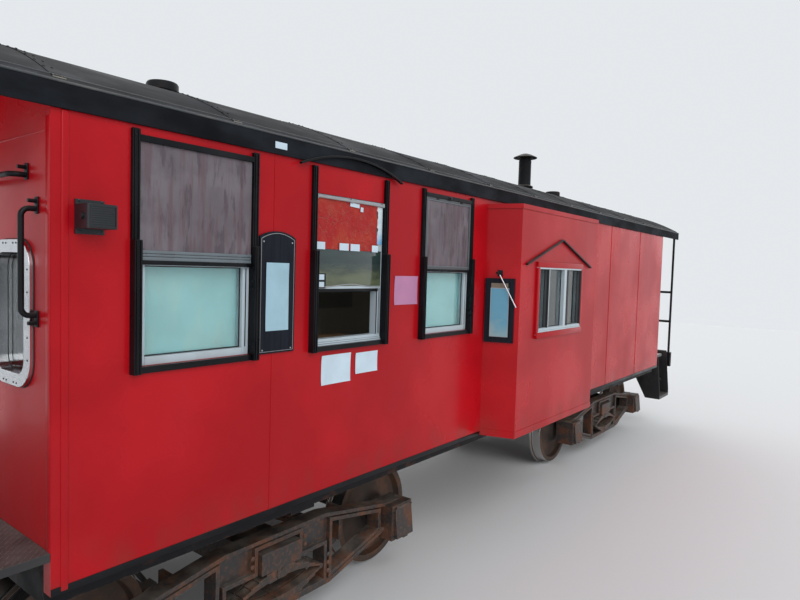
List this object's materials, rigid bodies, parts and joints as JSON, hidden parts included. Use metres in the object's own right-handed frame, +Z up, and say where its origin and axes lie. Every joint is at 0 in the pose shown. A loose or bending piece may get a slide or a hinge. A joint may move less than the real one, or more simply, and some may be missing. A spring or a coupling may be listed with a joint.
{
  "type": "bay-window caboose",
  "caption": "Steel railway caboose with bay windows, arched roof over two end platforms, and leaf-spring trucks.",
  "frame": {"origin": "middle of the car at the level of the wheel flanges' lowest points", "axes": "+X along the car, +Y across it away from the side with the serving window, +Z up"},
  "size_m": [11.66, 3.312, 4.0102],
  "materials": {
    "red_paint": "glossy red enamel on steel sheet",
    "black_paint": "black enamel, weathered",
    "floor_boards": "worn floor boards",
    "vinyl": "white vinyl window frames",
    "weathered_screen": "weathered grey-brown panel in a steel frame",
    "window_glass": "clear window glass",
    "window_alloy": "extruded aluminium window frames",
    "pale_board": "pale aqua board, blank",
    "black_wood": "black painted wood",
    "rod_steel": "bright steel rod",
    "counter_wood": "varnished counter",
    "cast_steel": "black painted steel castings with rust",
    "spring_steel": "dark spring steel",
    "wheel_steel": "worn wheel steel, bright on the tread"
  },
  "bodies": {
    "carbody": {"air_brake_gear": "black_paint", "bay_far": "red_paint", "bay_near": "red_paint", "bay_window_frames": "vinyl", "bay_window_glass": "window_glass", "body_bolsters": "black_paint", "brake_stand_a": "black_paint", "brake_stand_b": "black_paint", "centre_sill": "black_paint", "couplers": "cast_steel", "cross_bearers": "black_paint", "door_frames": "red_paint", "drip_rails": "black_paint", "end_rails_a": "black_paint", "end_rails_b": "black_paint", "end_sills": "black_paint", "end_wall_a": "red_paint", "end_wall_b": "red_paint", "end_window_frames": "window_alloy", "end_window_glass": "window_glass", "floor": "floor_boards", "grab_irons": "black_paint", "menu_boards": "pale_board", "menu_sign": "black_wood", "platform_a": "black_paint", "platform_b": "black_paint", "platform_beams": "black_paint", "poster_frame": "black_wood", "prop_rod": "rod_steel", "roof": "black_paint", "roof_vents": "black_paint", "service_counter": "counter_wood", "side_sills": "black_paint", "side_wall_far": "red_paint", "side_wall_near": "red_paint", "speaker": "black_paint", "steps": "black_paint", "window_frames": "black_paint", "window_glass": "window_glass", "window_sashes": "vinyl", "window_screens": "weathered_screen"},
    "truck_a": {"truck_frames_a": "cast_steel", "truck_bolster_a": "cast_steel", "leaf_springs_a": "spring_steel", "brake_beams_a": "cast_steel"},
    "truck_b": {"truck_frames_b": "cast_steel", "truck_bolster_b": "cast_steel", "leaf_springs_b": "spring_steel", "brake_beams_b": "cast_steel"},
    "wheelset_a_1": {"wheelset_a_1": "wheel_steel"},
    "wheelset_a_2": {"wheelset_a_2": "wheel_steel"},
    "wheelset_b_1": {"wheelset_b_1": "wheel_steel"},
    "wheelset_b_2": {"wheelset_b_2": "wheel_steel"},
    "door_a": {"door_a": "red_paint", "door_glass_a": "window_glass"},
    "door_b": {"door_b": "red_paint", "door_glass_b": "window_glass"}
  },
  "joints": [
    {"name": "truck_a_swivel", "type": "hinge", "parent": "carbody", "child": "truck_a", "pos_m": [-3.05, 0, 0.682], "axis": [0, 0, 1], "range_deg": [-5, 5]},
    {"name": "wheelset_a_1_roll", "type": "hinge", "parent": "truck_a", "child": "wheelset_a_1", "pos_m": [-4.27, 0, 0.4471], "axis": [0, 1, 0], "continuous": true},
    {"name": "wheelset_a_2_roll", "type": "hinge", "parent": "truck_a", "child": "wheelset_a_2", "pos_m": [-1.83, 0, 0.4471], "axis": [0, 1, 0], "continuous": true},
    {"name": "door_a_swing", "type": "hinge", "parent": "carbody", "child": "door_a", "pos_m": [-4.51, -0.333, 1.2244], "axis": [0, 0, -1], "range_deg": [0, 90]},
    {"name": "truck_b_swivel", "type": "hinge", "parent": "carbody", "child": "truck_b", "pos_m": [3.05, 0, 0.682], "axis": [0, 0, 1], "range_deg": [-5, 5]},
    {"name": "wheelset_b_1_roll", "type": "hinge", "parent": "truck_b", "child": "wheelset_b_1", "pos_m": [1.83, 0, 0.4471], "axis": [0, 1, 0], "continuous": true},
    {"name": "wheelset_b_2_roll", "type": "hinge", "parent": "truck_b", "child": "wheelset_b_2", "pos_m": [4.27, 0, 0.4471], "axis": [0, 1, 0], "continuous": true},
    {"name": "door_b_swing", "type": "hinge", "parent": "carbody", "child": "door_b", "pos_m": [4.51, 0.333, 1.2244], "axis": [0, 0, -1], "range_deg": [0, 90]}
  ]
}
